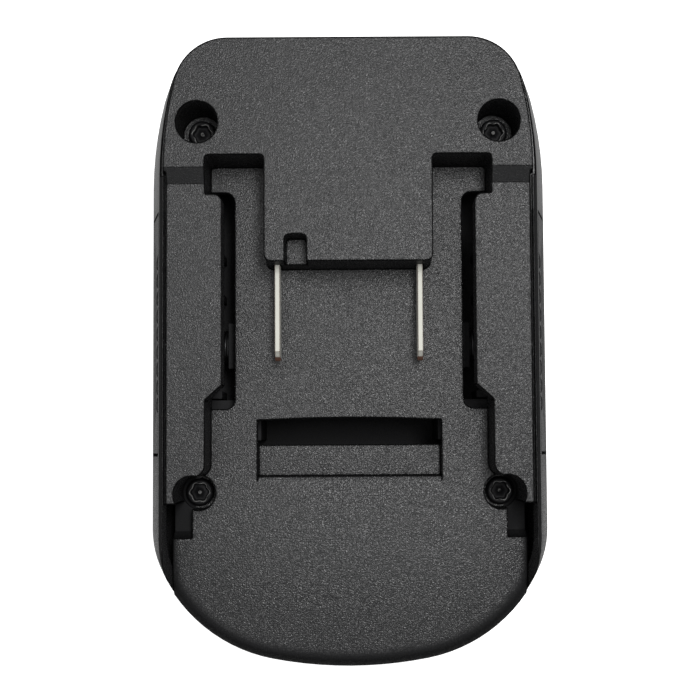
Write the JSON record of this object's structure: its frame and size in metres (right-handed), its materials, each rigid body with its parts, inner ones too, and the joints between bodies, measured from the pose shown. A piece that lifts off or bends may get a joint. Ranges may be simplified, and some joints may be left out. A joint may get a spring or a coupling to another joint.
{
  "type": "tool battery adapter",
  "caption": "Slide-on battery adapter for cordless tools, with overhanging rails, power blades and a latch pocket above, and a latching shoe with sprung side release buttons below.",
  "frame": {"origin": "middle of the outline in plan, on the flat lower face of the shoe", "axes": "+Z towards the battery, +Y along the body to the terminal end, +X to the right seen from the battery side with the terminal end up"},
  "size_m": [0.0778, 0.12, 0.044],
  "materials": {
    "cover_plastic": "dark grey moulded plastic with a fine grain",
    "base_plastic": "dark grey moulded plastic, smooth on the rear flanks",
    "button_plastic": "dark grey grained plastic",
    "block_plastic": "plain black moulded plastic",
    "spring_steel": "bright spring wire",
    "zinc_steel": "zinc-plated screws",
    "black_steel": "black-coated screws",
    "blade_metal": "tinned brass strip",
    "clip_brass": "bare spring brass",
    "lead_red": "red insulated lead",
    "lead_black": "black insulated lead",
    "sleeve_red": "dark red shrink sleeve",
    "sleeve_black": "black shrink sleeve"
  },
  "bodies": {
    "case": {"top_cover": "cover_plastic", "base_shell": "base_plastic", "button_spring_right": "spring_steel", "button_spring_left": "spring_steel", "terminal_block": "block_plastic", "terminal_block_screws": "zinc_steel", "blade_positive": "blade_metal", "blade_negative": "blade_metal", "rear_case_screws": "black_steel", "front_case_screws": "black_steel", "contact_carrier": "block_plastic", "contact_carrier_screws": "zinc_steel", "contact_clip_positive": "clip_brass", "contact_clip_negative": "clip_brass", "lead_positive": "lead_red", "lead_negative": "lead_black", "lead_sleeves_positive": "sleeve_red", "lead_sleeves_negative": "sleeve_black"},
    "right_button": {"release_button_right": "button_plastic"},
    "left_button": {"release_button_left": "button_plastic"}
  },
  "joints": [
    {"name": "right_button_press", "type": "slide", "parent": "case", "child": "right_button", "axis": [-1, 0, 0], "range_m": [0, 0.0025], "stiffness_N_per_m": 1000, "springref_m": -0.002, "deforming": ["button_spring_right"]},
    {"name": "left_button_press", "type": "slide", "parent": "case", "child": "left_button", "axis": [1, 0, 0], "range_m": [0, 0.0025], "stiffness_N_per_m": 1000, "springref_m": -0.002, "deforming": ["button_spring_left"]}
  ]
}
